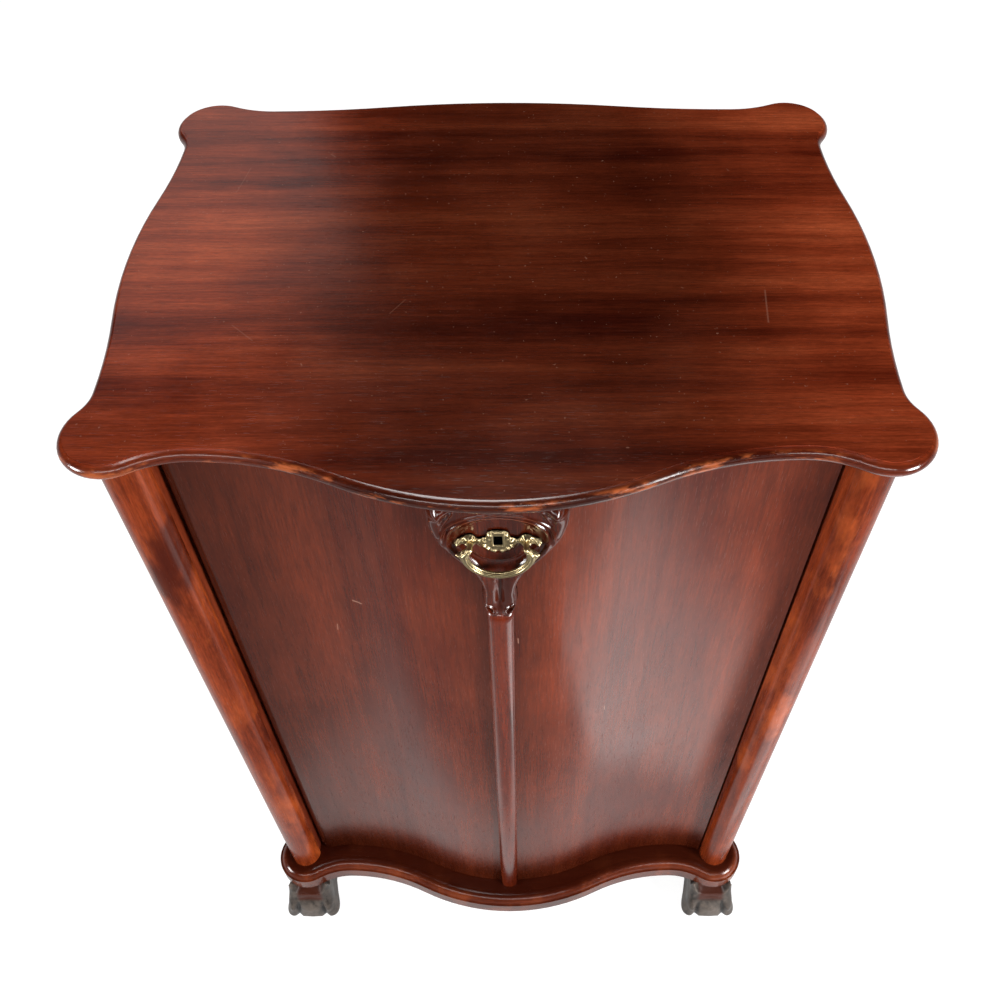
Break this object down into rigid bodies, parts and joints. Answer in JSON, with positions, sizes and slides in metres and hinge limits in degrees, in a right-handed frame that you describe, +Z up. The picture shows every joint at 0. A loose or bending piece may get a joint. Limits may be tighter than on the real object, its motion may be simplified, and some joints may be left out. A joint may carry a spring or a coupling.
{
  "type": "record cabinet",
  "caption": "Serpentine-front wooden record cabinet with a moulded top, corner columns, carved paw feet, a pivot-hung door with lock and bail pull, and divided shelves inside.",
  "frame": {"origin": "on the floor, below the middle of the cabinet's box", "axes": "+Z up, -Y towards the door, +X to the right seen from the front"},
  "size_m": [0.57, 0.466, 0.87],
  "materials": {
    "polished_mahogany": "dark red-brown polished mahogany",
    "inner_wood": "plain oiled wood",
    "dark_carved_wood": "dark carved and polished wood",
    "aged_brass": "aged cast brass",
    "steel": "plain steel"
  },
  "bodies": {
    "case": {"ankle_collars": "polished_mahogany", "back_panel": "inner_wood", "back_screws": "steel", "base_frame": "polished_mahogany", "door_stop": "inner_wood", "floor_board": "inner_wood", "foot_dowels": "inner_wood", "front_left_column": "polished_mahogany", "front_left_paw": "dark_carved_wood", "front_left_post": "polished_mahogany", "front_right_column": "polished_mahogany", "front_right_paw": "dark_carved_wood", "front_right_post": "polished_mahogany", "left_side_panel": "polished_mahogany", "lower_dividers": "inner_wood", "lower_pivot_plate": "aged_brass", "middle_shelf": "inner_wood", "pivot_plate_screws": "steel", "post_dowels": "inner_wood", "rear_left_column": "polished_mahogany", "rear_left_paw": "dark_carved_wood", "rear_left_post": "polished_mahogany", "rear_right_column": "polished_mahogany", "rear_right_paw": "dark_carved_wood", "rear_right_post": "polished_mahogany", "right_side_panel": "polished_mahogany", "shelf_cleats": "inner_wood", "strike_plate": "aged_brass", "strike_screws": "steel", "top_board": "polished_mahogany", "top_cleats": "inner_wood", "top_screws": "steel", "upper_dividers": "inner_wood", "upper_pivot_plate": "aged_brass"},
    "door": {"door_panel": "polished_mahogany", "centre_bead": "polished_mahogany", "cartouche": "polished_mahogany", "upper_pivot_leaf": "aged_brass", "lower_pivot_leaf": "aged_brass", "pivot_leaf_screws": "steel", "lock_case": "aged_brass", "lock_cap": "aged_brass", "lock_key_pin": "steel", "lock_spring": "steel", "lock_screws": "steel", "pull_plate": "aged_brass", "pull_posts": "aged_brass", "post_nuts": "aged_brass"},
    "bail": {"pull_bail": "aged_brass"},
    "bolt": {"lock_bolt": "aged_brass"}
  },
  "joints": [
    {"name": "door_swing", "type": "hinge", "parent": "case", "child": "door", "pos_m": [-0.2235, -0.15566, 0.478], "axis": [0, 0, -1], "range_deg": [0, 98]},
    {"name": "bail_swing", "type": "hinge", "parent": "door", "child": "bail", "pos_m": [0, -0.217, 0.802], "axis": [-1, 0, 0], "range_deg": [0, 95]},
    {"name": "bolt_throw", "type": "slide", "parent": "door", "child": "bolt", "axis": [0, 0, 1], "range_m": [0, 0.007]}
  ]
}
